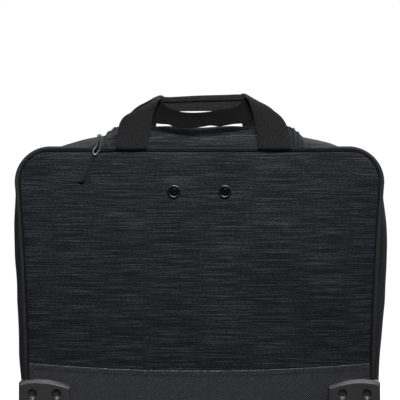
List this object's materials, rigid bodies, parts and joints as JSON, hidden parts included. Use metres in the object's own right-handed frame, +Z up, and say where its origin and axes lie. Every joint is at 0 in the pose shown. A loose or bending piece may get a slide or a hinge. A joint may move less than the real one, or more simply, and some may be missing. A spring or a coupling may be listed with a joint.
{
  "type": "rolling laptop case",
  "caption": "Soft fabric laptop case with corner wheels, front feet, stowed telescoping handle, webbing carry handles and a zipped front compartment.",
  "frame": {"origin": "centre of the case's footprint on the floor it stands on", "axes": "+X along the case's width, +Y from the wheels' side to the front pocket's side, +Z up"},
  "size_m": [0.4608, 0.228, 0.4165],
  "materials": {
    "melange_fabric": "dark navy-charcoal melange weave with fine horizontal slubs",
    "twill_fabric": "coarse black-grey twill with a diagonal rib",
    "welt_fabric": "black woven binding over a cord",
    "lining_fabric": "smooth grey lining over foam",
    "webbing": "flat woven nylon webbing",
    "moulded_plastic": "dark grey moulded plastic, fine satin texture",
    "tube_aluminium": "satin anodised",
    "axle_steel": "plain turned",
    "nickel": "soft nickel plate",
    "black_steel": "black, semi-gloss",
    "wheel_rubber": "matt tread"
  },
  "bodies": {
    "case": {"back_panel": "melange_fabric", "back_piping": "welt_fabric", "rear_guard_panel": "twill_fabric", "left_gusset": "melange_fabric", "right_gusset": "melange_fabric", "top_gusset": "melange_fabric", "hood_rear_lip": "melange_fabric", "hood_front_lip": "melange_fabric", "hood_end_left": "melange_fabric", "hood_end_right": "melange_fabric", "base_board": "twill_fabric", "divider_panel": "lining_fabric", "laptop_sleeve": "lining_fabric", "upper_bracket": "moulded_plastic", "lower_bracket": "moulded_plastic", "outer_tube_left": "tube_aluminium", "outer_tube_right": "tube_aluminium", "outer_collar_left": "moulded_plastic", "outer_collar_right": "moulded_plastic", "eyelet_left": "nickel", "eyelet_right": "nickel", "bracket_screw_left": "black_steel", "bracket_screw_right": "black_steel", "wheel_housing_left": "moulded_plastic", "wheel_housing_right": "moulded_plastic", "housing_screw_left_inner": "black_steel", "housing_screw_left_outer": "black_steel", "housing_screw_right_inner": "black_steel", "housing_screw_right_outer": "black_steel", "wheel_axle_left": "axle_steel", "wheel_axle_right": "axle_steel", "front_foot_left": "moulded_plastic", "front_foot_right": "moulded_plastic"},
    "trolley_middle": {"mid_tube_left": "tube_aluminium", "mid_tube_right": "tube_aluminium", "mid_collar_left": "moulded_plastic", "mid_collar_right": "moulded_plastic"},
    "trolley_upper": {"inner_tube_left": "tube_aluminium", "inner_tube_right": "tube_aluminium", "grip": "moulded_plastic"},
    "button": {"release_button": "moulded_plastic"},
    "wheel_left": {"wheel_hub_left": "moulded_plastic", "wheel_tyre_left": "wheel_rubber"},
    "wheel_right": {"wheel_hub_right": "moulded_plastic", "wheel_tyre_right": "wheel_rubber"},
    "rear_handle": {"rear_carry_handle": "webbing"},
    "front_handle": {"front_carry_handle": "webbing"},
    "lid": {"lid_rim": "melange_fabric", "lid_panel": "melange_fabric", "front_pocket": "melange_fabric"},
    "hood_zip": {"hood_slider": "nickel"},
    "hood_link": {"hood_pull_link": "nickel"},
    "hood_tab": {"hood_pull_tab": "webbing"},
    "main_zip_left": {"main_slider_left": "nickel"},
    "main_zip_right": {"main_slider_right": "nickel"},
    "left_pull": {"main_pull_left": "nickel"},
    "right_pull": {"main_pull_right": "nickel"},
    "pocket_zip": {"pocket_slider": "nickel"},
    "pocket_tab": {"pocket_pull": "nickel"}
  },
  "joints": [
    {"name": "trolley_lower_slide", "type": "slide", "parent": "case", "child": "trolley_middle", "axis": [0, 0, 1], "range_m": [0, 0.25]},
    {"name": "trolley_upper_slide", "type": "slide", "parent": "trolley_middle", "child": "trolley_upper", "axis": [0, 0, 1], "range_m": [0, 0.25]},
    {"name": "button_press", "type": "slide", "parent": "trolley_upper", "child": "button", "axis": [0, 0, -1], "range_m": [0, 0.0022], "stiffness_N_per_m": 600},
    {"name": "wheel_left_spin", "type": "hinge", "parent": "case", "child": "wheel_left", "pos_m": [-0.182, -0.086, 0.028], "axis": [1, 0, 0], "continuous": true},
    {"name": "wheel_right_spin", "type": "hinge", "parent": "case", "child": "wheel_right", "pos_m": [0.182, -0.086, 0.028], "axis": [1, 0, 0], "continuous": true},
    {"name": "rear_handle_fold", "type": "hinge", "parent": "case", "child": "rear_handle", "pos_m": [0, -0.102, 0.3486], "axis": [1, 0, 0], "range_deg": [-12, 165], "stiffness_Nm_per_rad": 0.05},
    {"name": "front_handle_fold", "type": "hinge", "parent": "case", "child": "front_handle", "pos_m": [0, -0.042, 0.374], "axis": [1, 0, 0], "range_deg": [-75, 30], "stiffness_Nm_per_rad": 0.05},
    {"name": "lid_open", "type": "hinge", "parent": "case", "child": "lid", "pos_m": [0, 0.052, 0.0205], "axis": [-1, 0, 0], "range_deg": [0, 90]},
    {"name": "hood_zip_slide", "type": "slide", "parent": "case", "child": "hood_zip", "axis": [1, 0, 0], "range_m": [0, 0.011]},
    {"name": "hood_link_swing", "type": "hinge", "parent": "hood_zip", "child": "hood_link", "pos_m": [-0.121, -0.1019, 0.3659], "axis": [-1, 0, 0], "range_deg": [0, 110]},
    {"name": "hood_tab_swing", "type": "hinge", "parent": "hood_link", "child": "hood_tab", "pos_m": [-0.1245, -0.1019, 0.343], "axis": [-1, 0, 0], "range_deg": [0, 80]},
    {"name": "main_zip_left_slide", "type": "slide", "parent": "case", "child": "main_zip_left", "axis": [-1, 0, 0], "range_m": [0, 0.12]},
    {"name": "main_zip_right_slide", "type": "slide", "parent": "case", "child": "main_zip_right", "axis": [1, 0, 0], "range_m": [0, 0.12]},
    {"name": "left_pull_lift", "type": "hinge", "parent": "main_zip_left", "child": "left_pull", "pos_m": [-0.0125, 0.046, 0.3607], "axis": [0, 1, 0], "range_deg": [0, 110]},
    {"name": "right_pull_lift", "type": "hinge", "parent": "main_zip_right", "child": "right_pull", "pos_m": [0.0125, 0.046, 0.3607], "axis": [0, -1, 0], "range_deg": [0, 110]},
    {"name": "pocket_zip_slide", "type": "slide", "parent": "lid", "child": "pocket_zip", "axis": [-1, 0, 0], "range_m": [0, 0.286]},
    {"name": "pocket_pull_swing", "type": "hinge", "parent": "pocket_zip", "child": "pocket_tab", "pos_m": [0.1435, 0.1133, 0.2886], "axis": [1, 0, 0], "range_deg": [0, 110]}
  ]
}
